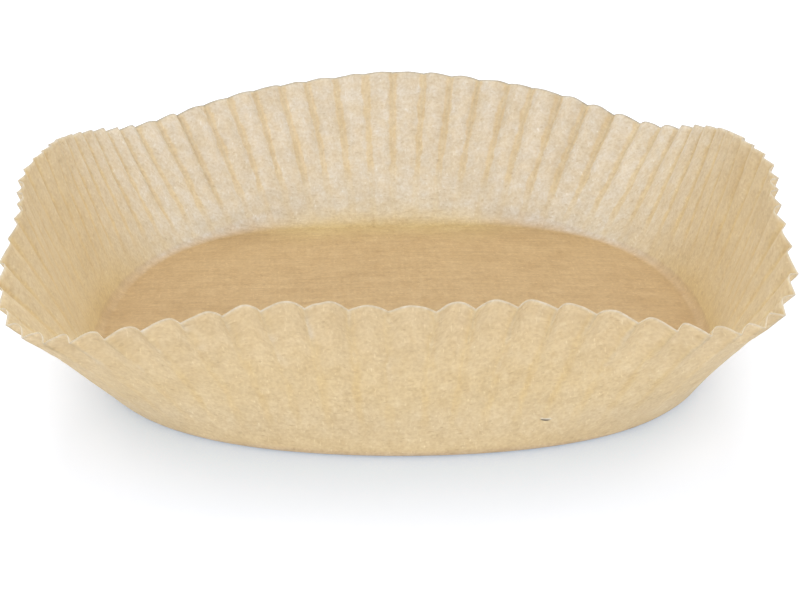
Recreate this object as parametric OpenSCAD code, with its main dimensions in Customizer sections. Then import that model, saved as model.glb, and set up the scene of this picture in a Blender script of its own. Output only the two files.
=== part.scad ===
// Baking paper bowl: one flat disc of baking paper, pressed into a round bowl with a pleated wall.
// Paper doesn't stretch, so each pleat is as deep as the paper left over at its height makes it.
// The rim has been pulled slightly square: the wall is steep at four sides and leans out at four corners.
// Millimetres. The origin is the centre of the underside, on the surface that the bowl stands on; +Z is up.
// Directions are degrees around +Z: 0 is right, 90 back, 180 left and 270 front.

/* [Paper] */
// Diameter of the flat disc that the bowl is pressed from
blank_d = 245; // [225:1:265]
// Thickness of the paper
paper_t = 0.06; // [0.04:0.01:0.3]

/* [Floor] */
// Diameter of the floor, measured to where it would meet the wall in a sharp crease
floor_d = 160; // [145:1:175]
// How far the crease is drawn in at the sides and let out at the corners
floor_squareness = 2.3; // [0:0.1:5]
// Radius of the bend from the floor to the wall
crease_r = 2.5; // [1:0.1:6]
// Radius of the bend at the back, where the floor curls up softly
curl_r = 14; // [6:0.5:20]
// Direction of the middle of the curl
curl_direction = 93; // [60:1:120]
// Width of the curl, in degrees around the bowl
curl_width = 50; // [20:1:80]

/* [Wall] */
// Slope of the wall at the right side, in degrees above the floor
right_slope = 74; // [60:0.5:80]
// Slope of the wall at the left side
left_slope = 71.5; // [60:0.5:80]
// Slope of the wall at the front
front_slope = 68; // [60:0.5:80]
// Slope of the wall at the back
back_slope = 62.5; // [60:0.5:80]
// Slopes of the wall at the corners: back right, back left, front left, front right
corner_slopes = [48.5, 52, 46, 50]; // [42:0.5:60]
// Directions of the corners, in the same order
corner_directions = [45.5, 138.5, 226, 312.5]; // [0:0.5:360]
// Width of each corner, in degrees around the bowl
corner_width = 26; // [18:1:40]
// Degrees by which the wall sways in and out around the bowl
wall_sway = 1; // [0:0.1:2]
// Number of times it sways
sway_count = 13; // [5:1:15]
// A direction in which it sways in
sway_direction = 257; // [0:1:360]

/* [Pleats] */
// Number of pleats around the wall
pleat_count = 80; // [48:1:84]
// Direction of the first pleat's crest
first_pleat = 2.3; // [0:0.1:4.5]
// Share of the paper left over that the pleats take up at the front and back; the rest goes into fine crumples
pleat_gather = 0.8; // [0.3:0.01:1]
// The same share at the right and left sides, where the pleats are pressed flatter
side_gather = 0.5; // [0.3:0.01:1]
// Share of its depth that a pleat keeps where it has faded out towards the floor
faintest_pleat = 0.1; // [0:0.01:0.5]
// How far up the wall the pleats start to deepen, halfway from front to back, as a share of the wall
fade_start = 0.05; // [0:0.01:0.4]
// How much further up they start at the front, and further down at the back
fade_front = 0.3; // [0:0.01:0.4]
// How much further up they start at the right and left sides
fade_sides = 0.35; // [0:0.01:0.5]
// How unevenly far up the pleats start
fade_spread = 0.12; // [0:0.01:0.2]
// Share of the wall over which they deepen
fade_length = 0.62; // [0.4:0.01:1]
// Degrees by which the rim is drawn towards the corners, which keeps the pleats evenly wide there
corner_bunch = 2.1; // [0:0.1:3]
// How much closer together than average the pleats are in the crowded direction, as a share
crowding = 0.08; // [0:0.01:0.12]
// The crowded direction
crowded_direction = 210; // [0:1:360]
// How unevenly the pleats are spaced, as a share of a pleat
pleat_stray = 0.04; // [0:0.01:0.2]
// How unevenly deep the pleats are, as a share of their depth
depth_spread = 0.15; // [0:0.01:0.3]

/* [Hidden] */

paper_colour = [0.86, 0.76, 0.58];
blank_r = blank_d / 2;
pitch = 360 / pleat_count;
degree = PI / 180;

// Steps in angle from one pleat to the next, whose sines make the pleats differ
stray_step = 137;
depth_step = 71;
start_step = 211;
shuffle_step = 53;
shuffle_reach = 40;

steps = 6;                     // columns of points in one pleat, the first on its crest
columns = pleat_count * steps;
// Rows of points: from 0 to 1 around the bend, and from 1 to 2 up the wall to the rim
stations = [0, 1 / 3, 2 / 3, 1, 1.35, 2];
rows = len(stations);

// Degrees from direction b to direction a, from -180 to 180
function apart(a, b) = (a - b + 900) % 360 - 180;

// A smooth hump around direction middle: 1 high, and a half at half its width to either side
function hump(a, middle, width) = pow(2, -pow(2 * apart(a, middle) / width, 2));

// How much of each corner lies in a direction
function corner_shares(a) = [for (direction = corner_directions) hump(a, direction, corner_width)];
function sum(list, i = 0) = i == len(list) ? 0 : list[i] + sum(list, i + 1);

// Slope of the wall if the bowl had no corners: the right, back, left and front slopes in their own directions
function side_slope(a) =
    (right_slope + left_slope + front_slope + back_slope) / 4
    + (right_slope - left_slope) / 2 * cos(a)
    + (back_slope - front_slope) / 2 * sin(a)
    + (right_slope + left_slope - front_slope - back_slope) / 4 * cos(2 * a);

// Slope of the wall in direction a
function slope(a) =
    let (shares = corner_shares(a))
    side_slope(a) * (1 - sum(shares)) + shares * corner_slopes + wall_sway * cos(sway_count * (a - sway_direction));

// Radius of the bend in direction a
function bend_r(a) = crease_r + (curl_r - crease_r) * hump(a, curl_direction, curl_width);

// Distance from the centre to where floor and wall would meet in a sharp crease
function crease(a) = floor_d / 2 - floor_squareness * cos(4 * a);

// Where the bend leaves the flat floor, and its length along the paper
function bend_start(a) = crease(a) - bend_r(a) * tan(slope(a) / 2);
function bend_length(a) = bend_r(a) * slope(a) * degree;

// Distance along the paper from the centre to a station
function paper_distance(a, station) =
    bend_start(a) + min(station, 1) * bend_length(a)
    + max(station - 1, 0) * (blank_r - bend_start(a) - bend_length(a));

// [radius, height, tilt] of the smooth sheet in direction a, at that distance along the paper
function meridian(a, distance) =
    let (
        run = distance - bend_start(a),
        tilt = min(slope(a), run / bend_r(a) / degree),
        straight = run - bend_r(a) * tilt * degree
    )
    [
        bend_start(a) + bend_r(a) * sin(tilt) + straight * cos(tilt),
        bend_r(a) * (1 - cos(tilt)) + straight * sin(tilt),
        tilt
    ];

// Small differences from pleat to pleat, from -1 to 1, the same each time
function uneven(pleat, step) =
    let (i = pleat % pleat_count)
    sin(step * i + shuffle_reach * sin(shuffle_step * i));
function uneven_between(pleat, t, step) = (1 - t) * uneven(pleat, step) + t * uneven(pleat + 1, step);

// Direction on the flat disc of a point at share t of a pleat
function blank_direction(pleat, t) =
    first_pleat + pitch * (pleat + t + pleat_stray * uneven_between(pleat, t, stray_step));

// Direction that it ends up in once the rim is drawn towards the corners and the pleats are crowded
function formed_direction(phi, up) =
    phi + corner_bunch * up * sin(4 * phi) - crowding / degree * sin(phi - crowded_direction);

// How much wider than its even share of the rim a pleat is there
function widening(phi, up) =
    1 + 4 * corner_bunch * degree * up * cos(4 * phi) - crowding * cos(phi - crowded_direction);

// Depth from crest to valley that takes up the paper left over in a pleat of this width, in direction a
function gather(a) = pleat_gather + (side_gather - pleat_gather) * pow(cos(a), 2);
function pleat_depth(width, paper_width, a) =
    width / 2 * sqrt(gather(a) * max(0, pow(paper_width / width, 2) - 1));

// Share of its depth that a pleat has at a place up the wall, where it starts to deepen at a given place
function smooth_step(x) = let (s = max(0, min(1, x))) s * s * (3 - 2 * s);
function deepening(start, up) =
    faintest_pleat + (1 - faintest_pleat) * smooth_step((up - start) / fade_length);

// Cross-section of a pleat: a sharp crest outside and a rounded valley inside
function fold(t) = 0.5 - abs(sin(180 * t));

// A point on the paper: side is 1 for the outer face and -1 for the inner one
function paper_point(pleat, t, station, side) =
    let (
        phi = blank_direction(pleat, t),
        up = max(0, station - 1),
        a = formed_direction(phi, up),
        distance = paper_distance(a, station),
        place = meridian(a, distance),
        width = place[0] * pitch * degree * widening(phi, up),
        paper_width = distance * pitch * degree * widening(phi, 0),
        unevenness = 1 + depth_spread * uneven_between(pleat, t, depth_step),
        start = fade_start - fade_front * sin(a) + fade_sides * pow(cos(a), 2)
            + fade_spread * uneven_between(pleat, t, start_step),
        depth = pleat_depth(width, paper_width, a) * unevenness * deepening(start, up),
        lean = depth * PI * cos(180 * t) / width,
        out = depth * fold(t) + side * paper_t / 2 * sqrt(1 + lean * lean)
    )
    [
        (place[0] + out * sin(place[2])) * cos(a),
        (place[0] + out * sin(place[2])) * sin(a),
        place[1] - out * cos(place[2]) + paper_t / 2
    ];

// All points of one face, row by row from the floor to the rim
function face_points(side) = [
    for (station = stations, pleat = [0 : pleat_count - 1], step = [0 : steps - 1])
        paper_point(pleat, step / steps, station, side)
];

// Index of a point: face 0 is the outer one and face 1 the inner one
function at(face, row, column) = face * rows * columns + row * columns + column % columns;

// Two triangles between four points
function quad(p, q, r, s) = [[p, q, r], [p, r, s]];

module paper_bowl() {
    outer_wall = [
        for (row = [0 : rows - 2], c = [0 : columns - 1])
            each quad(at(0, row, c), at(0, row + 1, c), at(0, row + 1, c + 1), at(0, row, c + 1))
    ];
    inner_wall = [
        for (row = [0 : rows - 2], c = [0 : columns - 1])
            each quad(at(1, row, c), at(1, row, c + 1), at(1, row + 1, c + 1), at(1, row + 1, c))
    ];
    rim_row = rows - 1;
    rim = [
        for (c = [0 : columns - 1])
            each quad(at(0, rim_row, c), at(1, rim_row, c), at(1, rim_row, c + 1), at(0, rim_row, c + 1))
    ];
    underside = [for (c = [0 : columns - 1]) at(0, 0, c)];
    floor_top = [for (c = [columns - 1 : -1 : 0]) at(1, 0, c)];
    color(paper_colour)
        polyhedron(
            points = concat(face_points(1), face_points(-1)),
            faces = concat(outer_wall, inner_wall, rim, [underside, floor_top]),
            convexity = 10
        );
}

paper_bowl();
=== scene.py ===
"""A bowl pressed from one sheet of unbleached baking paper, on a pale table under soft light.

The sheet is made by Geometry Nodes from the rule that the real one follows: a flat disc is bent up into a
wall, and the paper left over at each height goes into pleats. Lengths are in metres and directions in degrees
around +Z: 0 is right, 90 back, 180 left and 270 front.
"""

import logging
import math
from dataclasses import dataclass, field
from enum import Enum
from typing import Union

import bpy
from mathutils import Matrix, Vector


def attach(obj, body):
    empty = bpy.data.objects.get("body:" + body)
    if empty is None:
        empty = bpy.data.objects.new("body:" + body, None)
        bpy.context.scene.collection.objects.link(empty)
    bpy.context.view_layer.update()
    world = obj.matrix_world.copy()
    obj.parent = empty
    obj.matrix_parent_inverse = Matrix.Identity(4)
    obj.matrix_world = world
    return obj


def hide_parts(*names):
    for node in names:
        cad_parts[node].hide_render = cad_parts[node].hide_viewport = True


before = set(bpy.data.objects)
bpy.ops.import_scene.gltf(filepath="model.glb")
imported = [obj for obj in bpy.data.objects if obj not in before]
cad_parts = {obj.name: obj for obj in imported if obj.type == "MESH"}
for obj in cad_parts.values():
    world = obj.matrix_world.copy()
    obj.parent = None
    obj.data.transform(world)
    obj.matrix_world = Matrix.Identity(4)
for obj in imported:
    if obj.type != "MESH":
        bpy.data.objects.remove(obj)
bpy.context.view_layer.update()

LOG = logging.getLogger("paper_bowl")
DEGREE = math.pi / 180
GREEN_POWER, BLUE_POWER = 1.35, 2.1
NOISE_MIDDLE, NOISE_SPREAD = 0.5, 3.0
JOIN_DISTANCE = 1e-7
# What the mark of the wall's share falls to over the bend, below the 0 of the wall's foot
BEND_SHARE = 0.02

Number = Union[float, "Field"]
Colour = tuple[float, float, float]


class Kind(Enum):
    """The kinds of socket that the node groups have."""

    NUMBER = "NodeSocketFloat"
    VECTOR = "NodeSocketVector"
    MATERIAL = "NodeSocketMaterial"
    GEOMETRY = "NodeSocketGeometry"


class Mark(Enum):
    """What the sheet remembers about each of its points, for the materials to read."""

    FLAT_PLACE = "flat_place"
    WALL_SHARE = "wall_share"
    RIDGE_SHARE = "ridge_share"
    FOLD_SIDE = "fold_side"
    RIM_GAP = "rim_gap"
    INNER_FACE = "inner_face"
    CUT_EDGE = "cut_edge"


class Field:
    """A number or vector that varies over a surface: one output socket in a node tree.

    Python's operators add the math nodes, so a rule reads as it would on paper.
    """

    def __init__(self, tree: bpy.types.NodeTree, socket: bpy.types.NodeSocket) -> None:
        """Holds a socket.

        Args:
            tree: The tree that the socket is in.
            socket: The output socket.
        """
        self.tree = tree
        self.socket = socket

    def math(self, operation: str, *others: Number) -> "Field":
        """Adds a Math node whose first input is this field.

        Args:
            operation: The node's operation.
            others: Its other inputs.

        Returns:
            The node's result.
        """
        node = self.tree.nodes.new("ShaderNodeMath")
        node.operation = operation
        for socket, value in zip(node.inputs, (self, *others)):
            put(self.tree, socket, value)
        return Field(self.tree, node.outputs[0])

    def __add__(self, other: Number) -> "Field":
        """Returns the sum."""
        return self.math("ADD", other)

    __radd__ = __add__

    def __sub__(self, other: Number) -> "Field":
        """Returns the difference."""
        return self.math("SUBTRACT", other)

    def __rsub__(self, other: float) -> "Field":
        """Returns the difference from a plain number."""
        return (self * -1.0) + other

    def __mul__(self, other: Number) -> "Field":
        """Returns the product."""
        return self.math("MULTIPLY", other)

    __rmul__ = __mul__

    def __truediv__(self, other: Number) -> "Field":
        """Returns the quotient."""
        return self.math("DIVIDE", other)

    def __pow__(self, other: Number) -> "Field":
        """Returns the power."""
        return self.math("POWER", other)

    def at_least(self, other: Number) -> "Field":
        """Returns the larger of the two."""
        return self.math("MAXIMUM", other)

    def at_most(self, other: Number) -> "Field":
        """Returns the smaller of the two."""
        return self.math("MINIMUM", other)

    def below(self, other: Number) -> "Field":
        """Returns 1 where this is less than the other, and 0 elsewhere."""
        return self.math("LESS_THAN", other)

    def size(self) -> "Field":
        """Returns the number without its sign."""
        return self.math("ABSOLUTE")

    def sin(self) -> "Field":
        """Returns the sine of an angle in degrees."""
        return (self * DEGREE).math("SINE")

    def cos(self) -> "Field":
        """Returns the cosine of an angle in degrees."""
        return (self * DEGREE).math("COSINE")

    def ramp(self, low: Number, high: Number) -> "Field":
        """Turns the number into a share, with a smooth step.

        Args:
            low: Where the step starts.
            high: Where it ends.

        Returns:
            0 below low and 1 above high.
        """
        node = self.tree.nodes.new("ShaderNodeMapRange")
        node.interpolation_type = "SMOOTHSTEP"
        for name, value in (("Value", self), ("From Min", low), ("From Max", high)):
            put(self.tree, node.inputs[name], value)
        return Field(self.tree, node.outputs["Result"])

    def parts(self) -> tuple["Field", "Field", "Field"]:
        """Takes a vector apart.

        Returns:
            Its X, Y and Z.
        """
        node = self.tree.nodes.new("ShaderNodeSeparateXYZ")
        put(self.tree, node.inputs[0], self)
        x, y, z = (Field(self.tree, socket) for socket in node.outputs)
        return x, y, z


def put(tree: bpy.types.NodeTree, socket: bpy.types.NodeSocket, value: object) -> None:
    """Links a field to an input socket, or sets a plain value on it.

    Args:
        tree: The tree that the socket is in.
        socket: The input socket.
        value: A Field, or a value that the socket takes.
    """
    if isinstance(value, Field):
        tree.links.new(value.socket, socket)
    else:
        socket.default_value = value


def vector(tree: bpy.types.NodeTree, x: Number, y: Number, z: Number = 0.0) -> Field:
    """Makes a vector of three numbers.

    Args:
        tree: The tree to add the node to.
        x: The first number.
        y: The second.
        z: The third.

    Returns:
        The vector.
    """
    node = tree.nodes.new("ShaderNodeCombineXYZ")
    for socket, value in zip(node.inputs, (x, y, z)):
        put(tree, socket, value)
    return Field(tree, node.outputs[0])


def noise(place: Field, detail: float = 2.0, roughness: float = 0.5) -> Field:
    """Adds smooth noise, with one hump for each unit of the place.

    Args:
        place: The place to read it at.
        detail: How many finer layers it has.
        roughness: How strong each of them is, as a share of the one before.

    Returns:
        The noise, from about -1 to 1.
    """
    tree = place.tree
    node = tree.nodes.new("ShaderNodeTexNoise")
    put(tree, node.inputs["Vector"], place)
    node.inputs["Scale"].default_value = 1.0
    node.inputs["Detail"].default_value = detail
    node.inputs["Roughness"].default_value = roughness
    return (Field(tree, node.outputs[0]) - NOISE_MIDDLE) * NOISE_SPREAD


def blend(tree: bpy.types.NodeTree, share: Number, first: object, second: object) -> Field:
    """Mixes two colours.

    Args:
        tree: The tree to add the node to.
        share: How much of the second colour there is, from 0 to 1.
        first: A colour, or a Field of colours.
        second: The other one.

    Returns:
        The mixed colour.
    """
    node = tree.nodes.new("ShaderNodeMix")
    node.data_type = "RGBA"
    sockets = [socket for socket in node.inputs if socket.enabled]
    for socket, value in zip(sockets, (share, first, second)):
        put(tree, socket, (*value, 1.0) if isinstance(value, tuple) else value)
    return Field(tree, next(socket for socket in node.outputs if socket.enabled))


def toned(colour: Field, tone: Field) -> Field:
    """Makes a colour lighter or darker, and warmer as it gets darker.

    Args:
        colour: The colour.
        tone: The factor for its red. Green and blue change more.

    Returns:
        The toned colour.
    """
    node = colour.tree.nodes.new("ShaderNodeVectorMath")
    node.operation = "MULTIPLY"
    put(colour.tree, node.inputs[0], colour)
    put(colour.tree, node.inputs[1], vector(colour.tree, tone, tone ** GREEN_POWER, tone ** BLUE_POWER))
    return Field(colour.tree, node.outputs[0])


class NodeGroup:
    """A node group with named inputs and outputs, built once and placed wherever it is used."""

    def __init__(self, name: str, tree_type: str, inputs: dict[str, Kind], outputs: dict[str, Kind]) -> None:
        """Makes an empty group.

        Args:
            name: The group's name.
            tree_type: Blender's name for the kind of tree.
            inputs: The kind of each input by its name.
            outputs: The kind of each output by its name.
        """
        self.tree = bpy.data.node_groups.new(name, tree_type)
        for in_out, sockets in (("INPUT", inputs), ("OUTPUT", outputs)):
            for label, kind in sockets.items():
                self.tree.interface.new_socket(name=label, in_out=in_out, socket_type=kind.value)
        self.source = self.tree.nodes.new("NodeGroupInput")
        self.sink = self.tree.nodes.new("NodeGroupOutput")

    def input(self, name: str) -> Field:
        """Returns one of the named inputs."""
        return Field(self.tree, self.source.outputs[name])

    def output(self, name: str, value: Field) -> None:
        """Connects a result to one of the named outputs."""
        put(self.tree, self.sink.inputs[name], value)

    def place(self, tree: bpy.types.NodeTree, **values: object) -> dict[str, Field]:
        """Places the group in a material.

        Args:
            tree: The material's tree.
            values: The value of each input, under its name with _ for each space.

        Returns:
            Each output by its name.
        """
        node = tree.nodes.new("ShaderNodeGroup")
        node.node_tree = self.tree
        for name, value in values.items():
            put(tree, node.inputs[name.replace("_", " ")], value)
        return {socket.name: Field(tree, socket) for socket in node.outputs}


@dataclass(frozen=True)
class BowlForm:
    """The sizes that shape the smooth bowl, as the part has them."""

    blank_d: float = 0.245
    floor_d: float = 0.160
    floor_squareness: float = 0.0023
    crease_r: float = 0.0025
    curl_r: float = 0.014
    curl_direction: float = 93.0
    curl_width: float = 50.0
    right_slope: float = 74.0
    left_slope: float = 71.5
    front_slope: float = 68.0
    back_slope: float = 62.5
    corner_slopes: tuple[float, ...] = (48.5, 52.0, 46.0, 50.0)
    corner_directions: tuple[float, ...] = (45.5, 138.5, 226.0, 312.5)
    corner_width: float = 26.0
    wall_sway: float = 1.0
    sway_count: int = 13
    sway_direction: float = 257.0
    paper_t: float = 0.00006


@dataclass(frozen=True)
class PleatForm:
    """The sizes that shape the pleats: first those of the part, then the finer ones that show up close."""

    count: int = 80
    first: float = 2.3
    gather: float = 0.8
    side_gather: float = 0.5
    corner_bunch: float = 2.1
    crowding: float = 0.08
    crowded_direction: float = 210.0
    stray: float = 0.04
    depth_spread: float = 0.15
    stray_step: float = 137.0
    depth_step: float = 71.0
    start_step: float = 211.0
    skew_step: float = 97.0
    crease_step: float = 163.0
    shuffle_step: float = 53.0
    shuffle_reach: float = 40.0
    wander: float = 0.42
    wander_length: float = 0.010
    skew: float = 0.08
    faintest: float = 0.10
    fade_start: float = 0.05
    fade_front: float = 0.30
    fade_sides: float = 0.35
    fade_spread: float = 0.12
    fade_length: float = 0.62
    second_crease: float = 0.00022
    second_crease_width: float = 0.17
    second_crease_stray: float = 0.2
    second_crease_rise: tuple[float, float] = (0.35, 0.9)
    front_flattening: float = 0.65
    flattening_end: tuple[float, float] = (0.55, 0.98)
    front_edges: tuple[float, float] = (0.1, 0.8)
    kinks_around: float = 11.0
    kink_detail: float = 3.0
    kink_roughness: float = 0.58
    straighter_rim: float = 0.6


@dataclass(frozen=True)
class Crumple:
    """Heights and sizes of the small unevenness that pressing and handling leave in the paper."""

    rib_height: float = 0.00007
    rib_width: float = 0.0020
    rib_length: float = 0.014
    bend_share: float = 0.2
    onset: float = 4.0
    dent_height: float = 0.00016
    dent_size: float = 0.007
    floor_swell: float = 0.0005
    floor_swell_size: float = 0.05
    rim_wave: float = 0.00025
    rim_wave_size: float = 0.006


@dataclass(frozen=True)
class SheetGrid:
    """How finely the sheet is divided. Towards the centre of the floor, columns are joined in steps."""

    pleat_columns: int = 12
    floor_rows: int = 8
    bend_rows: int = 7
    wall_rows: int = 33
    joined_columns: tuple[tuple[float, float], ...] = ((7.5, 3.0), (5.5, 4.0), (2.5, 8.0))


class PressedSheetTree(NodeGroup):
    """The Geometry Nodes tree that presses a flat disc of paper into the bowl."""

    def __init__(self, form: BowlForm, pleats: PleatForm, crumple: Crumple, grid: SheetGrid) -> None:
        """Builds the tree.

        Args:
            form: The smooth bowl's sizes.
            pleats: The pleats' sizes.
            crumple: The small unevenness.
            grid: How finely the sheet is divided.
        """
        self.form = form
        self.pleats = pleats
        self.crumple = crumple
        self.grid = grid
        self.sizes = {
            "Blank Diameter": form.blank_d,
            "Paper Thickness": form.paper_t,
            "Floor Diameter": form.floor_d,
            "Floor Squareness": form.floor_squareness,
            "Crease Radius": form.crease_r,
            "Curl Radius": form.curl_r,
            "Curl Width": form.curl_width,
            "Right Slope": form.right_slope,
            "Left Slope": form.left_slope,
            "Front Slope": form.front_slope,
            "Back Slope": form.back_slope,
            "Corner Width": form.corner_width,
            "Wall Sway": form.wall_sway,
            "Pleat Gather": pleats.gather,
            "Side Gather": pleats.side_gather,
            "Corner Bunch": pleats.corner_bunch,
            "Crowding": pleats.crowding,
            "Pleat Stray": pleats.stray,
            "Depth Spread": pleats.depth_spread,
            "Pleat Wander": pleats.wander,
            "Pleat Skew": pleats.skew,
            "Second Crease": pleats.second_crease,
            "Rib Height": crumple.rib_height,
            "Dent Height": crumple.dent_height,
            "Floor Swell": crumple.floor_swell,
            "Rim Wave": crumple.rim_wave,
        }
        inputs = dict.fromkeys(self.sizes, Kind.NUMBER) | {"Paper": Kind.MATERIAL, "Cut Edge": Kind.MATERIAL}
        super().__init__("pressed_sheet", "GeometryNodeTree", inputs, {"Geometry": Kind.GEOMETRY})
        geometry, column, row = self._flat_grid()
        geometry = self._press(geometry, column, row)
        geometry = self._thicken(geometry)
        realise = self._after("GeometryNodeRealizeInstances", geometry)
        dress = self._after("GeometryNodeSetMaterial", realise)
        put(self.tree, dress.inputs["Material"], self.input("Paper"))
        edge = self._after("GeometryNodeSetMaterial", dress)
        put(self.tree, edge.inputs["Selection"], self._read(Mark.CUT_EDGE))
        put(self.tree, edge.inputs["Material"], self.input("Cut Edge"))
        self.tree.links.new(edge.outputs["Geometry"], self.sink.inputs["Geometry"])

    def set_on(
        self, modifier: bpy.types.NodesModifier, paper: bpy.types.Material, edge: bpy.types.Material
    ) -> None:
        """Gives a modifier this tree, with its sizes and materials.

        Args:
            modifier: The modifier.
            paper: The finish of the sheet's two faces.
            edge: The finish of its cut edge.
        """
        modifier.node_group = self.tree
        values = self.sizes | {"Paper": paper, "Cut Edge": edge}
        for item in self.tree.interface.items_tree:
            if item.item_type == "SOCKET" and item.in_out == "INPUT":
                modifier[item.identifier] = values[item.name]

    def _after(self, kind: str, source: object) -> bpy.types.Node:
        """Adds a node that takes its geometry from another one.

        Args:
            kind: The new node's type.
            source: The node or socket that the geometry comes from.

        Returns:
            The new node.
        """
        node = self.tree.nodes.new(kind)
        socket = source if isinstance(source, bpy.types.NodeSocket) else source.outputs[0]
        self.tree.links.new(socket, node.inputs[0])
        return node

    def _store(
        self, geometry: object, mark: Mark, value: object, kind: str = "FLOAT", domain: str = "POINT"
    ) -> object:
        """Adds a node that stores a mark.

        Args:
            geometry: The node or socket that the geometry comes from.
            mark: The mark.
            value: Its value.
            kind: Its data type.
            domain: What it is stored on.

        Returns:
            The new node.
        """
        store = self._after("GeometryNodeStoreNamedAttribute", geometry)
        store.data_type = kind
        store.domain = domain
        store.inputs["Name"].default_value = mark.value
        put(self.tree, store.inputs["Value"], value)
        return store

    def _read(self, mark: Mark) -> Field:
        """Reads a mark that was stored.

        Args:
            mark: The mark.

        Returns:
            Its value.
        """
        node = self.tree.nodes.new("GeometryNodeInputNamedAttribute")
        node.data_type = "FLOAT"
        node.inputs["Name"].default_value = mark.value
        return Field(self.tree, node.outputs["Attribute"])

    def _flat_grid(self) -> tuple[object, Field, Field]:
        """Makes the flat grid.

        Returns:
            The node that makes it, the number of each point's column, and that of its row.
        """
        tree, g = self.tree, self.grid
        columns = self.pleats.count * g.pleat_columns
        rows = g.floor_rows + g.bend_rows + g.wall_rows
        grid = tree.nodes.new("GeometryNodeMeshGrid")
        sizes = {"Size X": 1.0, "Size Y": 1.0, "Vertices X": columns + 1, "Vertices Y": rows + 1}
        for name, value in sizes.items():
            put(tree, grid.inputs[name], value)
        x, y, _ = Field(tree, tree.nodes.new("GeometryNodeInputPosition").outputs[0]).parts()
        row = ((y + 0.5) * float(rows)).math("ROUND")
        joined = 1.0
        for below, extra in g.joined_columns:
            joined = row.below(below) * extra + joined
        column = ((x + 0.5) * float(columns) / joined).math("ROUND") * joined
        return grid, column, row

    def _hump(self, direction: Field, middle: float, width: Number) -> Field:
        """Returns a hump 1 high in one direction, and a half at half its width to either side."""
        apart = (direction - middle + 900.0).math("MODULO", 360.0) - 180.0
        return (((apart * 2.0 / width) ** 2.0) * -math.log(2.0)).math("EXPONENT")

    def _slope(self, a: Field) -> Field:
        """Works out how steep the wall is.

        Args:
            a: The direction.

        Returns:
            The slope in that direction.
        """
        f = self.form
        right, left = self.input("Right Slope"), self.input("Left Slope")
        front, back = self.input("Front Slope"), self.input("Back Slope")
        side = (right + left + front + back) / 4.0
        side = side + (right - left) / 2.0 * a.cos() + (back - front) / 2.0 * a.sin()
        side = side + (right + left - front - back) / 4.0 * (a * 2.0).cos()
        slope = side
        for corner_slope, direction in zip(f.corner_slopes, f.corner_directions):
            slope = slope + self._hump(a, direction, self.input("Corner Width")) * (corner_slope - side)
        return slope + self.input("Wall Sway") * ((a - f.sway_direction) * float(f.sway_count)).cos()

    def _uneven(self, pleat: Field, t: Field, step: float) -> Field:
        """Makes the pleats differ, the same way each time.

        Args:
            pleat: The number of the pleat.
            t: The place across it.
            step: The angle from one pleat's number to the next.

        Returns:
            A number from -1 to 1, which turns smoothly from one pleat into the next.
        """
        p = self.pleats
        ends = []
        for i in (pleat.math("MODULO", float(p.count)), (pleat + 1.0).math("MODULO", float(p.count))):
            ends.append((i * step + (i * p.shuffle_step).sin() * p.shuffle_reach).sin())
        return (1.0 - t) * ends[0] + t * ends[1]

    def _widening(self, phi: Field, up: Number) -> Field:
        """Returns how much wider than its even share of the rim a pleat is."""
        bunch = self.input("Corner Bunch") * (4.0 * DEGREE) * up * (phi * 4.0).cos()
        return 1.0 + bunch - self.input("Crowding") * (phi - self.pleats.crowded_direction).cos()

    def _press(self, grid: object, column: Field, row: Field) -> object:
        """Bends the flat grid into the pleated bowl, and marks its points.

        Args:
            grid: The node that makes the grid.
            column: The number of each point's column.
            row: The number of its row.

        Returns:
            The node whose geometry is the middle of the sheet.
        """
        p, g, f = self.pleats, self.grid, self.form
        per_pleat = float(g.pleat_columns)
        pleat = ((column + 0.5) / per_pleat).math("FLOOR")
        t = column / per_pleat - pleat
        pleat = pleat.math("MODULO", float(p.count))
        on_floor = (row / float(g.floor_rows)).at_most(1.0)
        round_bend = ((row - float(g.floor_rows)) / float(g.bend_rows)).at_least(0.0).at_most(1.0)
        up = ((row - float(g.floor_rows + g.bend_rows)) / float(g.wall_rows)).at_least(0.0)

        stray = self.input("Pleat Stray") * self._uneven(pleat, t, p.stray_step)
        phi = p.first + 360.0 / p.count * (pleat + t + stray)
        crowd = self.input("Crowding") / DEGREE * (phi - p.crowded_direction).sin()
        a = phi + self.input("Corner Bunch") * up * (phi * 4.0).sin() - crowd

        slope = self._slope(a)
        curl = self._hump(a, f.curl_direction, self.input("Curl Width"))
        crease_r = self.input("Crease Radius")
        bend_r = crease_r + (self.input("Curl Radius") - crease_r) * curl
        crease = self.input("Floor Diameter") / 2.0 - self.input("Floor Squareness") * (a * 4.0).cos()
        bend_start = crease - bend_r * (slope / 2.0).sin() / (slope / 2.0).cos()
        bend_length = bend_r * slope * DEGREE
        wall_length = self.input("Blank Diameter") / 2.0 - bend_start - bend_length
        straight = wall_length * up + self._rim_wave(phi, up)
        distance = bend_start * on_floor + bend_length * round_bend + straight
        tilt = slope * round_bend
        radius = bend_start * on_floor + bend_r * tilt.sin() + straight * tilt.cos()
        height = bend_r * (1.0 - tilt.cos()) + straight * tilt.sin()

        out = self._pleat_relief(pleat, t, up, phi, a, radius, distance)
        out = out + self._crumples(a, up, round_bend, radius, distance)
        a = a + self._wander(a, up, distance)
        r = radius + out * tilt.sin()
        height = height - out * tilt.cos() + self._floor_swell(a, radius, on_floor)
        z = height.at_least(0.0) + f.paper_t / 2.0

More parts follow.
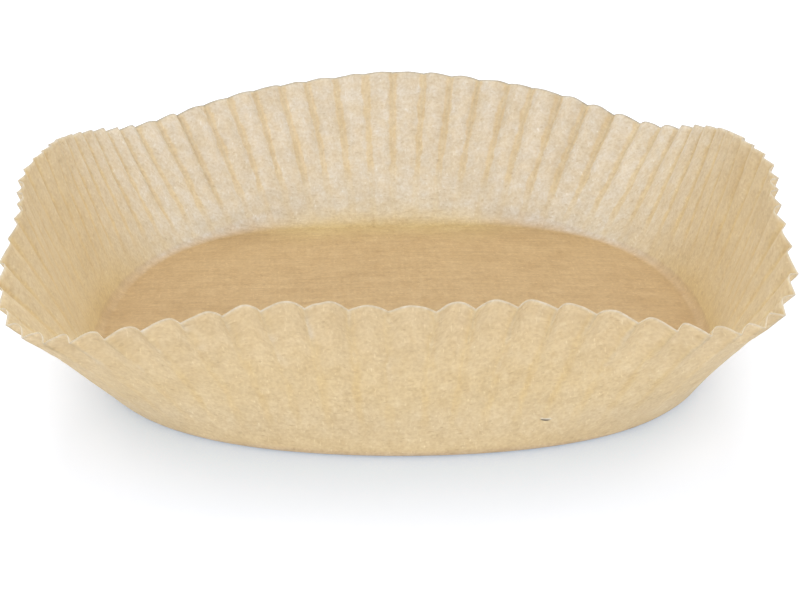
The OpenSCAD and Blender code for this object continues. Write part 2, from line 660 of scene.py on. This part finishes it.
        marks = (
            (Mark.FLAT_PLACE, "FLOAT_VECTOR", vector(self.tree, distance * phi.cos(), distance * phi.sin())),
            (Mark.WALL_SHARE, "FLOAT", up + round_bend * BEND_SHARE - BEND_SHARE),
            (Mark.RIDGE_SHARE, "FLOAT", 1.0 - (t * 2.0 - 1.0).size()),
            (Mark.FOLD_SIDE, "FLOAT", (t * 360.0).sin()),
            (Mark.RIM_GAP, "FLOAT", wall_length * (1.0 - up)),
        )
        marked = grid
        for mark, kind, value in marks:
            marked = self._store(marked, mark, value, kind)
        pressed = self._after("GeometryNodeSetPosition", marked)
        put(self.tree, pressed.inputs["Position"], vector(self.tree, r * a.cos(), r * a.sin(), z))
        return pressed

    def _pleat_relief(
        self, pleat: Field, t: Field, up: Field, phi: Field, a: Field, radius: Field, distance: Field
    ) -> Field:
        """Works out how far the pleats stand out from the smooth bowl.

        Args:
            pleat: The number of each point's pleat.
            t: The point's place across its pleat.
            up: Its place up the wall.
            phi: Its direction on the flat disc.
            a: Its direction on the bowl.
            radius: Its distance from the bowl's axis.
            distance: Its distance from the centre along the paper.

        Returns:
            The distance outwards along the wall's normal.
        """
        p = self.pleats
        pitch = 2.0 * math.pi / p.count
        width = radius * pitch * self._widening(phi, up)
        paper_width = distance * pitch * self._widening(phi, 0.0)
        left_over = ((paper_width / width.at_least(1e-6)) ** 2.0 - 1.0).at_least(0.0)
        gather = self.input("Pleat Gather")
        gather = gather + (self.input("Side Gather") - gather) * a.cos() ** 2.0
        depth = width / 2.0 * (left_over * gather).math("SQRT")
        depth = depth * (1.0 + self.input("Depth Spread") * self._uneven(pleat, t, p.depth_step))
        start = p.fade_start - a.sin() * p.fade_front + a.cos() ** 2.0 * p.fade_sides
        start = start + self._uneven(pleat, t, p.start_step) * p.fade_spread
        depth = depth * (p.faintest + (1.0 - p.faintest) * up.ramp(start, start + p.fade_length))
        below_rim = 1.0 - up.ramp(*p.flattening_end)
        depth = depth * (1.0 - (a.sin() * -1.0).ramp(*p.front_edges) * below_rim * p.front_flattening)

        skew = self.input("Pleat Skew") * self._uneven(pleat, t, p.skew_step) * (t * 180.0).sin() ** 2.0
        fold = 0.5 - ((t + skew) * 180.0).sin().size()
        middle = 0.5 + p.second_crease_stray * self._uneven(pleat, t, p.skew_step)
        second = (t - middle).size() / p.second_crease_width
        second = (1.0 - second).at_least(0.0) * self._uneven(pleat, t, p.crease_step).at_least(0.0)
        second = second * up.ramp(*p.second_crease_rise)
        return depth * fold + self.input("Second Crease") * second

    def _crumples(self, a: Field, up: Field, round_bend: Field, radius: Field, distance: Field) -> Field:
        """Works out the ribs and dents of the wall.

        Args:
            a: Each point's direction on the bowl.
            up: Its place up the wall.
            round_bend: Its place round the bend.
            radius: Its distance from the bowl's axis.
            distance: Its distance from the centre along the paper.

        Returns:
            The distance outwards along the wall's normal.
        """
        c = self.crumple
        tree = self.tree
        across = radius / c.rib_width
        ribs = noise(vector(tree, a.cos() * across, a.sin() * across, distance / c.rib_length), detail=1.0)
        across = radius / c.dent_size
        dents = noise(vector(tree, a.cos() * across, a.sin() * across, distance / c.dent_size), detail=3.0)
        share = (round_bend * c.bend_share + up * c.onset).at_most(1.0)
        return (self.input("Rib Height") * ribs + self.input("Dent Height") * dents) * share

    def _wander(self, a: Field, up: Field, distance: Field) -> Field:
        """Works out how far the pleats wander sideways on their way up the wall.

        Args:
            a: Each point's direction on the bowl.
            up: Its place up the wall.
            distance: Its distance from the centre along the paper.

        Returns:
            The angle around the bowl.
        """
        p = self.pleats
        around, along = p.kinks_around, distance / p.wander_length
        place = vector(self.tree, a.cos() * around, a.sin() * around, along)
        kinks = noise(place, p.kink_detail, p.kink_roughness)
        return self.input("Pleat Wander") * kinks * up.ramp(0.0, 0.2) * (1.0 - up * p.straighter_rim)

    def _rim_wave(self, phi: Field, up: Field) -> Field:
        """Works out how unevenly the rim was cut.

        Args:
            phi: Each point's direction on the flat disc.
            up: Its place up the wall.

        Returns:
            The distance outside the circle of the blank.
        """
        across = self.input("Blank Diameter") / 2.0 / self.crumple.rim_wave_size
        wave = noise(vector(self.tree, phi.cos() * across, phi.sin() * across), detail=1.0)
        return self.input("Rim Wave") * wave * up ** 3.0

    def _floor_swell(self, a: Field, radius: Field, on_floor: Field) -> Field:
        """Works out how far the floor has lifted off the table.

        Args:
            a: Each point's direction on the bowl.
            radius: Its distance from the bowl's axis.
            on_floor: Its place from the centre to the bend.

        Returns:
            The height.
        """
        across = radius / self.crumple.floor_swell_size
        swell = noise(vector(self.tree, a.cos() * across, a.sin() * across, 0.5), detail=2.0)
        return self.input("Floor Swell") * (swell + 1.0).at_least(0.0) * (1.0 - on_floor ** 6.0)

    def _thicken(self, middle: object) -> object:
        """Turns the middle of the sheet into a closed sheet of the paper's thickness.

        Args:
            middle: The node whose geometry is the middle of the sheet.

        Returns:
            The node whose geometry is the closed sheet.
        """
        tree = self.tree
        merged = self._after("GeometryNodeMergeByDistance", middle)
        merged.inputs["Distance"].default_value = JOIN_DISTANCE
        inwards = tree.nodes.new("ShaderNodeVectorMath")
        inwards.operation = "SCALE"
        tree.links.new(tree.nodes.new("GeometryNodeInputNormal").outputs[0], inwards.inputs[0])
        put(tree, inwards.inputs["Scale"], self.input("Paper Thickness") * -0.5)
        inner = self._after("GeometryNodeSetPosition", merged)
        tree.links.new(inwards.outputs[0], inner.inputs["Offset"])
        plain = self._store(inner, Mark.INNER_FACE, 0.0)
        plain = self._store(plain, Mark.CUT_EDGE, 0.0, domain="FACE")

        outer = self._after("GeometryNodeExtrudeMesh", plain)
        outer.inputs["Individual"].default_value = False
        put(tree, outer.inputs["Offset Scale"], self.input("Paper Thickness"))
        outer_marked = self._store(outer, Mark.CUT_EDGE, Field(tree, outer.outputs["Side"]), domain="FACE")
        flipped = self._after("GeometryNodeFlipFaces", plain)
        inner_marked = self._store(flipped, Mark.INNER_FACE, 1.0)
        joined = tree.nodes.new("GeometryNodeJoinGeometry")
        tree.links.new(inner_marked.outputs[0], joined.inputs[0])
        tree.links.new(outer_marked.outputs[0], joined.inputs[0])
        closed = self._after("GeometryNodeMergeByDistance", joined)
        closed.inputs["Distance"].default_value = JOIN_DISTANCE
        smooth = self._after("GeometryNodeSetShadeSmooth", closed)
        put(tree, smooth.inputs["Shade Smooth"], True)
        return smooth


@dataclass(frozen=True)
class FibreLook:
    """How strongly each kind of marking shows in the paper, as shares of its colour."""

    cloud: float = 0.06
    formation: float = 0.115
    streak: float = 0.12
    grain: float = 0.14
    fleck: float = 0.15


class FibreGroup(NodeGroup):
    """Markings that all paper has: clouds of fibre, streaks along the web, grain and small flecks."""

    cloud_size = 0.011
    formation_size = 0.0020
    streak_length = 0.014
    streak_width = 0.0011
    grain_size = 0.0008
    fleck_length = 0.0014
    fleck_width = 0.0005
    dark_edges = (0.62, 0.95)
    pale_edges = (0.66, 0.95)
    cross_share = 0.4
    layer_step = 900.0

    def __init__(self, look: FibreLook) -> None:
        """Builds the group.

        Args:
            look: How strongly each marking shows.
        """
        super().__init__(
            "paper_fibres",
            "ShaderNodeTree",
            {"Flat Place": Kind.VECTOR, "Strength": Kind.NUMBER, "Streaks": Kind.NUMBER},
            {"Tone": Kind.NUMBER, "Height": Kind.NUMBER},
        )
        x, y, _ = self.input("Flat Place").parts()
        cloud = self._layer(x, y, self.cloud_size, self.cloud_size, 2.0)
        formation = self._layer(x, y, self.formation_size * 1.3, self.formation_size, 3.0)
        streak = self._layer(x, y, self.streak_length, self.streak_width, 2.0)
        cross_streak = self._layer(x, y, self.streak_width, self.streak_length, 1.0)
        grain = self._layer(x, y, self.grain_size, self.grain_size, 1.0)
        dark = self._layer(x, y, self.fleck_length, self.fleck_width, 0.0).ramp(*self.dark_edges)
        pale = self._layer(y, x, self.fleck_length, self.fleck_width, 0.0).ramp(*self.pale_edges)
        change = cloud * look.cloud + formation * look.formation
        streaks = streak + cross_streak * self.cross_share
        change = change + streaks * look.streak * self.input("Streaks")
        change = change + grain * look.grain + (pale - dark) * look.fleck
        self.output("Tone", 1.0 + change * self.input("Strength"))
        self.output("Height", formation * 0.4 + streak * 0.3 + grain * 0.3 + (pale - dark) * 0.4)

    def _layer(self, x: Field, y: Field, length: float, width: float, detail: float) -> Field:
        """Returns noise stretched along X on the flat sheet."""
        place = vector(self.tree, x / length, y / width, length * self.layer_step)
        return noise(place, detail=detail, roughness=0.6)


@dataclass(frozen=True)
class RidgeLook:
    """The painted sheen and shade of the pleats: lengths on the flat sheet, and places in shares of half a
    pleat.
    """

    wide_size: float = 0.006
    fine_size: float = 0.0016
    patch_size: float = 0.0042
    break_size: float = 0.0055
    wide_stray: float = 0.17
    fine_stray: float = 0.09
    groove_width: float = 0.23
    groove_lean: float = 0.12
    groove_spread: float = 0.18
    groove_strength: float = 0.66
    groove_unevenness: float = 0.75
    unbroken: float = 0.2
    strength_around: float = 9.0
    strength_along: float = 22.0
    foot_rise: float = 0.08
    curl_rise: float = 0.35
    curl_fading: float = 0.35
    plateau_edges: tuple[float, float] = (0.04, 0.36)
    patch_contrast: float = 0.28
    line_place: float = 0.36
    line_width: float = 0.07
    curl_edges: tuple[float, float] = (0.84, 0.98)
    back_edges: tuple[float, float] = (0.05, 0.8)
    soft_floor: tuple[float, float] = (0.054, 0.080)
    softness: float = 0.85


class PressedRidgeGroup(NodeGroup):
    """Where the paper is painted pale along its ridges as a sheen, and darker in the grooves as their shade,
    both stronger at the back.
    """

    def __init__(self, look: RidgeLook) -> None:
        """Builds the group.

        Args:
            look: The sizes and strengths of what it draws.
        """
        super().__init__(
            "pressed_ridges",
            "ShaderNodeTree",
            {
                "Flat Place": Kind.VECTOR,
                "Ridge Share": Kind.NUMBER,
                "Fold Side": Kind.NUMBER,
                "Wall Share": Kind.NUMBER,
            },
            {name: Kind.NUMBER for name in ("Ridge", "Groove", "Line", "Back", "Floor")},
        )
        x, y, _ = self.input("Flat Place").parts()
        side, up = self.input("Fold Side"), self.input("Wall Share")
        reach = (x * x + y * y).math("SQRT")
        back = (y / reach).ramp(*look.back_edges)
        curl = (y / reach).ramp(*look.curl_edges)
        wide = self._spots(x, y, look.wide_size, 3.0)
        across = self.input("Ridge Share") + wide * look.wide_stray
        across = across + self._spots(x, y, look.fine_size, 5.0) * look.fine_stray
        wall = up.ramp(0.0, curl * look.curl_rise + look.foot_rise)

        # The grooves' painted shade differs from pleat to pleat, leans to one side and breaks off here and
        # there
        around, along = look.strength_around, reach * look.strength_along
        strength = noise(vector(self.tree, x / reach * around, y / reach * around, along), detail=1.0)
        broken = self._spots(x, y, look.break_size, 9.0, detail=1.0).ramp(-0.35, 0.45)
        width = look.groove_width + side * look.groove_lean + strength * look.groove_spread
        groove = (1.0 - across.ramp(0.02, width)) * (look.unbroken + broken * (1.0 - look.unbroken))
        groove = groove * (look.groove_strength + strength * look.groove_unevenness).at_least(0.0) * wall
        groove = groove * (1.0 - curl * look.curl_fading)

        # The painted sheen lies between the grooves, and all over the foot of the wall, where the pleats have
        # faded; at the back it spreads wider and reaches down to the floor
        patch = self._spots(x, y, look.patch_size, 7.0, detail=3.0).ramp(-0.6, 0.6)
        plateau = across.ramp(*look.plateau_edges).at_least((1.0 - up.ramp(0.1, 0.4)) * 0.85)
        plateau = plateau.at_least(back * 0.5)
        low = up.ramp(0.0, 0.25) * 0.7 + up.ramp(0.2, 0.9) * 0.3
        low = low + back * (up.ramp(0.0005 - BEND_SHARE, 0.0) - low)
        ridge_sheen = plateau * (1.0 - look.patch_contrast + patch * look.patch_contrast) * low

        # A thin painted highlight beside each groove, as on a fine crease
        highlight_line = (across - look.line_place).size().ramp(0.0, look.line_width)
        highlight_line = (1.0 - highlight_line) * side.ramp(0.2, 0.8) * wide.ramp(0.0, 0.5) * wall
        # Where the floor's painted shade goes, thinning out over the curl at the back
        floor = 1.0 - (up + wide * 0.002).ramp(-0.015, 0.02)
        soft = curl * (reach + wide * 0.004).ramp(*look.soft_floor)
        self.output("Ridge", ridge_sheen.at_least(0.0).at_most(1.0))
        self.output("Groove", groove.at_least(0.0).at_most(1.0))
        self.output("Line", highlight_line)
        self.output("Back", back)
        self.output("Floor", floor * (1.0 - soft * look.softness))

    def _spots(self, x: Field, y: Field, size: float, layer: float, detail: float = 2.0) -> Field:
        """Returns noise of one size on the flat sheet, with a different layer for each use."""
        return noise(vector(self.tree, x / size, y / size, layer), detail=detail)


@dataclass(frozen=True)
class Nick:
    """A small slit in the front of the wall, with a pale crease beside it."""

    direction: float = 294.85
    distance: float = 0.08933
    half_length: float = 0.00125
    half_width: float = 0.00027
    bow: float = 110.0
    crease_gap: float = 0.00035
    crease_growth: tuple[float, float] = (1.25, 1.1)
    slit_edges: tuple[float, float] = (0.5, 1.3)
    crease_edges: tuple[float, float] = (0.3, 1.5)

    def masks(self, flat_place: Field) -> tuple[Field, Field]:
        """Draws the nick on the flat sheet.

        Args:
            flat_place: Each point's place on the flat sheet.

        Returns:
            The slit and the pale crease, each as a mask.
        """
        x, y, _ = flat_place.parts()
        c, s = math.cos(self.direction * DEGREE), math.sin(self.direction * DEGREE)
        along = x * -s + y * c
        outwards = x * c + y * s - self.distance
        bowed = outwards - along * along * self.bow
        slit = (along / self.half_length) ** 2.0 + (bowed / self.half_width) ** 2.0
        longer, wider = self.crease_growth
        crease = (along / (self.half_length * longer)) ** 2.0
        crease = crease + ((bowed - self.crease_gap) / (self.half_width * wider)) ** 2.0
        return 1.0 - slit.ramp(*self.slit_edges), 1.0 - crease.ramp(*self.crease_edges)


@dataclass(frozen=True)
class BakingPaper:
    """Unbleached greaseproof paper: matt with a silky sheen, and lit through from behind, with painted sheen
    and shade in its colour.
    """

    fibres: FibreGroup
    ridges: PressedRidgeGroup
    nick: Nick = Nick()
    # Tan of the floor: the paper's colour with painted shade, where no light comes through from the table
    shaded_floor_tan: Colour = (0.60, 0.39, 0.158)
    wall_tan: Colour = (0.76, 0.565, 0.233)
    # Colour of the painted sheen and highlights, and of the pale crease by the nick
    pale: Colour = (0.775, 0.74, 0.68)
    # Colour of the painted shade in the grooves, and outside towards the rim
    groove: Colour = (0.60, 0.445, 0.25)
    # Painted shade along the rim at the back
    rim_shade: Colour = (0.42, 0.37, 0.28)
    # The slit's darkness is painted shade, in place of a gap
    slit: Colour = (0.03, 0.014, 0.005)
    lit_through: Colour = (0.94, 0.90, 0.82)
    translucency: float = 0.34
    roughness: float = 0.48
    bump: float = 0.35
    bump_height: float = 0.00005
    # How much painted sheen, groove shade and rim highlight and shade there is, in pairs: all round the bowl,
    # and what the back adds
    inside_sheen: tuple[float, float] = (0.32, 0.50)
    inside_groove_shade: tuple[float, float] = (0.34, 0.16)
    edge_share: tuple[float, float] = (0.45, 0.40)
    # Painted shade outside, in a pair: all the way up, and what is added towards the rim; then the painted
    # light on the ridges, crests and foot of the wall
    outside_shade: tuple[float, float] = (0.12, 0.48)
    outside_sheen: float = 0.26
    outside_crest_sheen: float = 0.4
    foot_lightening: float = 0.26
    highlight_line_share: float = 0.6
    crease_share: float = 0.8
    edge_width: tuple[float, float] = (0.0001, 0.0007)
    wall_streaks: float = 0.25

    def material(self) -> bpy.types.Material:
        """Makes the finish of the sheet's two faces.

        Returns:
            The material.
        """
        material = bpy.data.materials.new("baking_paper")
        material.use_nodes = True
        tree = material.node_tree
        tree.nodes.clear()
        colour, height = self._colour_and_height(tree)
        bump = tree.nodes.new("ShaderNodeBump")
        bump.inputs["Strength"].default_value = self.bump
        bump.inputs["Distance"].default_value = self.bump_height
        put(tree, bump.inputs["Height"], height)
        body = tree.nodes.new("ShaderNodeBsdfPrincipled")
        put(tree, body.inputs["Base Color"], colour)
        put(tree, body.inputs["Normal"], Field(tree, bump.outputs[0]))
        body.inputs["Roughness"].default_value = self.roughness
        through = tree.nodes.new("ShaderNodeBsdfTranslucent")
        through.inputs["Color"].default_value = (*self.lit_through, 1.0)
        mix = tree.nodes.new("ShaderNodeMixShader")
        mix.inputs[0].default_value = self.translucency
        tree.links.new(body.outputs[0], mix.inputs[1])
        tree.links.new(through.outputs[0], mix.inputs[2])
        finish(tree, mix)
        return material

    def _colour_and_height(self, tree: bpy.types.NodeTree) -> tuple[Field, Field]:
        """Draws the paper.

        Args:
            tree: The material's tree.

        Returns:
            Its colour, and the height of its fibres.
        """
        flat_place = read_mark(tree, Mark.FLAT_PLACE, "Vector")
        wall_share = read_mark(tree, Mark.WALL_SHARE)
        pressed = self.ridges.place(
            tree,
            Flat_Place=flat_place,
            Ridge_Share=read_mark(tree, Mark.RIDGE_SHARE),
            Fold_Side=read_mark(tree, Mark.FOLD_SIDE),
            Wall_Share=wall_share,
        )
        back, floor = pressed["Back"], pressed["Floor"]
        streaks = floor * (1.0 - self.wall_streaks) + self.wall_streaks
        fibres = self.fibres.place(tree, Flat_Place=flat_place, Strength=1.0, Streaks=streaks)

        # The floor's darker tan is painted shade
        plain = blend(tree, floor, self.wall_tan, self.shaded_floor_tan)
        # Inside: painted sheen on the ridges, painted shade in the grooves and a painted highlight line, all
        # stronger at the back
        inside = blend(tree, pressed["Ridge"] * self._towards(back, self.inside_sheen), plain, self.pale)
        inside = blend(tree, pressed["Groove"] * self._towards(back, self.inside_groove_shade), inside, self.groove)
        inside = blend(tree, pressed["Line"] * back * self.highlight_line_share, inside, self.pale)
        # Outside: painted light at the foot of the wall and on the ridges, painted shade growing towards the
        # rim, and a painted highlight along the outer crests
        foot = (1.0 - wall_share.ramp(0.0, 0.6)) * self.foot_lightening
        shade = self._towards(wall_share.ramp(0.1, 1.0), self.outside_shade)
        outside = blend(tree, pressed["Ridge"] * self.outside_sheen + foot, plain, self.pale)
        outside = blend(tree, shade, outside, self.groove)
        groove = pressed["Groove"] * self.outside_crest_sheen * wall_share.ramp(0.1, 0.9)
        outside = blend(tree, groove, outside, self.pale)
        colour = blend(tree, read_mark(tree, Mark.INNER_FACE), outside, inside)

        # A painted highlight along the rim at the front, and painted shade along it at the back
        edge = 1.0 - read_mark(tree, Mark.RIM_GAP).ramp(*self.edge_width)
        rim_light_and_shade = blend(tree, back, self.pale, self.rim_shade)
        colour = blend(tree, edge * self._towards(back, self.edge_share), colour, rim_light_and_shade)
        slit, crease = self.nick.masks(flat_place)
        colour = toned(blend(tree, crease * self.crease_share, colour, self.pale), fibres["Tone"])
        # The slit is drawn dark on the unbroken sheet: painted shade in place of its gap
        return blend(tree, slit, colour, self.slit), fibres["Height"]

    def _towards(self, place: Field, shares: tuple[float, float]) -> Field:
        """Returns a share that is the first one where the place is 0, with the second added where it is 1."""
        return shares[0] + place * shares[1]


@dataclass(frozen=True)
class CutEdge:
    """The fresh cut through the paper at the rim: paler than its faces, and rougher."""

    fibres: FibreGroup
    colour: Colour = (0.80, 0.70, 0.50)
    roughness: float = 0.8

    def material(self) -> bpy.types.Material:
        """Makes the finish of the cut edge.

        Returns:
            The material.
        """
        material = bpy.data.materials.new("cut_edge")
        material.use_nodes = True
        tree = material.node_tree
        tree.nodes.clear()
        fibres = self.fibres.place(
            tree, Flat_Place=read_mark(tree, Mark.FLAT_PLACE, "Vector"), Strength=0.6, Streaks=0.0
        )
        body = tree.nodes.new("ShaderNodeBsdfPrincipled")
        plain = blend(tree, 0.0, self.colour, self.colour)
        put(tree, body.inputs["Base Color"], toned(plain, fibres["Tone"]))
        body.inputs["Roughness"].default_value = self.roughness
        finish(tree, body)
        return material


def read_mark(tree: bpy.types.NodeTree, mark: Mark, output: str = "Fac") -> Field:
    """Reads one of the sheet's marks in a material.

    Args:
        tree: The material's tree.
        mark: The mark.
        output: Which of the node's outputs to take.

    Returns:
        The mark's value.
    """
    node = tree.nodes.new("ShaderNodeAttribute")
    node.attribute_name = mark.value
    return Field(tree, node.outputs[output])


def finish(tree: bpy.types.NodeTree, shader: bpy.types.Node) -> None:
    """Connects a shader to a material's surface."""
    out = tree.nodes.new("ShaderNodeOutputMaterial")
    tree.links.new(shader.outputs[0], out.inputs["Surface"])


def seen_directly(tree: bpy.types.NodeTree) -> Field:
    """Tells what the camera sees, directly or in gloss, from what only lights the object.

    Args:
        tree: The material's or world's tree.

    Returns:
        1 for what is seen, and 0 for the rest.
    """
    path = tree.nodes.new("ShaderNodeLightPath")
    seen = Field(tree, path.outputs["Is Camera Ray"])
    for ray in ("Is Glossy Ray", "Is Transmission Ray"):
        seen = seen.at_least(Field(tree, path.outputs[ray]))
    return seen


@dataclass
class PressedSheet:
    """The whole bowl: one pressed sheet with its true thickness."""

    form: BowlForm = field(default_factory=BowlForm)
    pleats: PleatForm = field(default_factory=PleatForm)
    crumple: Crumple = field(default_factory=Crumple)
    grid: SheetGrid = field(default_factory=SheetGrid)

    def build(self, paper: bpy.types.Material, edge: bpy.types.Material) -> bpy.types.Object:
        """Presses the sheet and makes it a plain mesh.

        Args:
            paper: The finish of both faces.
            edge: The finish of the cut edge.

        Returns:
            The sheet, riding on the bowl's body in place of the solid.
        """
        blank = bpy.data.objects.new("blank", bpy.data.meshes.new("blank"))
        bpy.context.scene.collection.objects.link(blank)
        press = blank.modifiers.new("press", "NODES")
        PressedSheetTree(self.form, self.pleats, self.crumple, self.grid).set_on(press, paper, edge)
        mesh = bpy.data.meshes.new_from_object(blank.evaluated_get(bpy.context.evaluated_depsgraph_get()))
        bpy.data.objects.remove(blank)
        mesh.name = "pressed_sheet"
        sheet = bpy.data.objects.new("pressed_sheet", mesh)
        bpy.context.scene.collection.objects.link(sheet)
        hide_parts("paper_bowl")
        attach(sheet, "root")
        return sheet


@dataclass(frozen=True)
class Table:
    """The pale table, which shows as white, keeps the bowl's shadow from the lamps and has a painted contact
    shadow in what the camera sees.
    """

    size: float = 8.0
    colour: Colour = (0.78, 0.80, 0.84)
    glow: Colour = (0.345, 0.365, 0.40)
    # Painted contact shadow in the glow: its colour near the bowl, its reach, samples and edges, and how much
    # it is lifted at the sides
    shaded_glow: Colour = (0.048, 0.128, 0.216)
    shade_reach: float = 0.045
    shade_samples: int = 4
    shade_edges: tuple[float, float] = (0.30, 0.75)
    side_lift: float = 0.33
    side_reach: float = 0.08
    side_limit: float = 2.0
    far_glow: Colour = (0.50, 0.50, 0.50)
    lit_reach: float = 0.8
    far_reach: float = 2.2

    def build(self) -> bpy.types.Object:
        """Makes the table top.

        Returns:
            The table.
        """
        half = self.size / 2
        mesh = bpy.data.meshes.new("table")
        corners = [(-half, -half, 0), (half, -half, 0), (half, half, 0), (-half, half, 0)]
        mesh.from_pydata(corners, [], [(0, 1, 2, 3)])
        table = bpy.data.objects.new("table", mesh)
        bpy.context.scene.collection.objects.link(table)
        material = bpy.data.materials.new("table")
        material.use_nodes = True
        tree = material.node_tree
        tree.nodes.clear()
        matt = tree.nodes.new("ShaderNodeBsdfDiffuse")
        matt.inputs["Color"].default_value = (*self.colour, 1.0)
        glow = tree.nodes.new("ShaderNodeEmission")
        # Occlusion darkens the glow near the bowl, a painted contact shadow, which is lifted at the sides
        open_sky = tree.nodes.new("ShaderNodeAmbientOcclusion")
        open_sky.samples = self.shade_samples
        open_sky.inputs["Distance"].default_value = self.shade_reach
        across, along, _ = Field(tree, tree.nodes.new("ShaderNodeTexCoord").outputs["Object"]).parts()
        shadow_lift = ((across / self.side_reach) ** 2.0).at_most(self.side_limit) * self.side_lift
        share = (Field(tree, open_sky.outputs["AO"]) + shadow_lift).ramp(*self.shade_edges)
        near_glow = blend(tree, share, self.shaded_glow, self.glow)
        afar = (across * across + along * along).math("SQRT").ramp(self.lit_reach, self.far_reach)
        put(tree, glow.inputs["Color"], blend(tree, afar, near_glow, self.far_glow))
        put(tree, glow.inputs["Strength"], seen_directly(tree))
        both = tree.nodes.new("ShaderNodeAddShader")
        tree.links.new(matt.outputs[0], both.inputs[0])
        tree.links.new(glow.outputs[0], both.inputs[1])
        finish(tree, both)
        mesh.materials.append(material)
        return table


@dataclass(frozen=True)
class SoftLamp:
    """A large rectangular lamp that points at the bowl."""

    name: str
    place: tuple[float, float, float]
    width: float
    height: float
    watts: float
    target: tuple[float, float, float] = (0.0, 0.0, 0.02)

    def build(self) -> bpy.types.Object:
        """Makes the lamp.

        Returns:
            The lamp, turned towards its target.
        """
        data = bpy.data.lights.new(self.name, "AREA")
        data.shape = "RECTANGLE"
        data.size = self.width
        data.size_y = self.height
        data.energy = self.watts
        lamp = bpy.data.objects.new(self.name, data)
        lamp.location = self.place
        lamp.rotation_euler = (Vector(self.target) - Vector(self.place)).to_track_quat("-Z", "Y").to_euler()
        bpy.context.scene.collection.objects.link(lamp)
        return lamp


@dataclass(frozen=True)
class Studio:
    """Soft light from all round: a pale sky, a lamp in front and one high behind."""

    sky: Colour = (0.97, 0.98, 1.0)
    sky_strength: float = 0.725
    lamps: tuple[SoftLamp, ...] = (
        SoftLamp("front_lamp", (0.0, -1.45, 0.55), 1.6, 0.8, 10.4),
        SoftLamp("back_lamp", (-0.03, 0.7, 1.2), 1.2, 0.9, 11.0),
    )

    def build(self) -> list[bpy.types.Object]:
        """Sets the sky and makes the lamps.

        Returns:
            The lamps.
        """
        world = bpy.data.worlds.new("studio")
        bpy.context.scene.world = world
        world.use_nodes = True
        tree = world.node_tree
        tree.nodes.clear()
        light = tree.nodes.new("ShaderNodeBackground")
        light.inputs["Color"].default_value = (*self.sky, 1.0)
        light.inputs["Strength"].default_value = self.sky_strength
        white = tree.nodes.new("ShaderNodeBackground")
        white.inputs["Color"].default_value = (1.0, 1.0, 1.0, 1.0)
        mix = tree.nodes.new("ShaderNodeMixShader")
        put(tree, mix.inputs[0], seen_directly(tree))
        tree.links.new(light.outputs[0], mix.inputs[1])
        tree.links.new(white.outputs[0], mix.inputs[2])
        out = tree.nodes.new("ShaderNodeOutputWorld")
        tree.links.new(mix.outputs[0], out.inputs["Surface"])
        return [lamp.build() for lamp in self.lamps]


@dataclass(frozen=True)
class Viewpoint:
    """The photograph's camera, whose axis passes by the middle of the bowl's underside."""

    distance: float = 0.3723
    elevation: float = 22.87
    sideways: float = -0.0006
    roll: float = -0.17
    focal_pixels: float = 1421.0
    axis_pixel: tuple[float, float] = (399.8, 315.6)
    frame_pixels: tuple[int, int] = (800, 600)
    sensor: float = 36.0
    clip_start: float = 0.01

    def build(self) -> bpy.types.Object:
        """Makes the camera.

        Returns:
            The camera, set as the scene's own.
        """
        data = bpy.data.cameras.new("camera")
        wide, tall = self.frame_pixels
        data.sensor_width = self.sensor
        data.lens = self.focal_pixels / wide * self.sensor
        data.shift_x = (wide / 2 - self.axis_pixel[0]) / wide
        data.shift_y = (self.axis_pixel[1] - tall / 2) / wide
        data.clip_start = self.clip_start
        camera = bpy.data.objects.new("camera", data)
        tilt = self.elevation * DEGREE
        place = Vector((self.sideways, -self.distance * math.cos(tilt), self.distance * math.sin(tilt)))
        turn = Matrix.Rotation(math.pi / 2 - tilt, 4, "X") @ Matrix.Rotation(self.roll * DEGREE, 4, "Z")
        camera.matrix_world = Matrix.Translation(place) @ turn
        bpy.context.scene.collection.objects.link(camera)
        bpy.context.scene.camera = camera
        return camera


def main() -> None:
    """Builds the stage, then the bowl."""
    logging.basicConfig(level=logging.INFO, format="%(name)s: %(message)s")
    bpy.context.scene.view_settings.view_transform = "Standard"
    LOG.info("camera: %s", Viewpoint().build().name)
    LOG.info("lamps: %s", ", ".join(lamp.name for lamp in Studio().build()))
    LOG.info("stage: %s", Table().build().name)
    fibres = FibreGroup(FibreLook())
    paper = BakingPaper(fibres, PressedRidgeGroup(RidgeLook())).material()
    edge = CutEdge(fibres).material()
    sheet = PressedSheet().build(paper, edge)
    LOG.info("%s: %d points, %d faces", sheet.name, len(sheet.data.vertices), len(sheet.data.polygons))


if __name__ == "__main__":
    main()
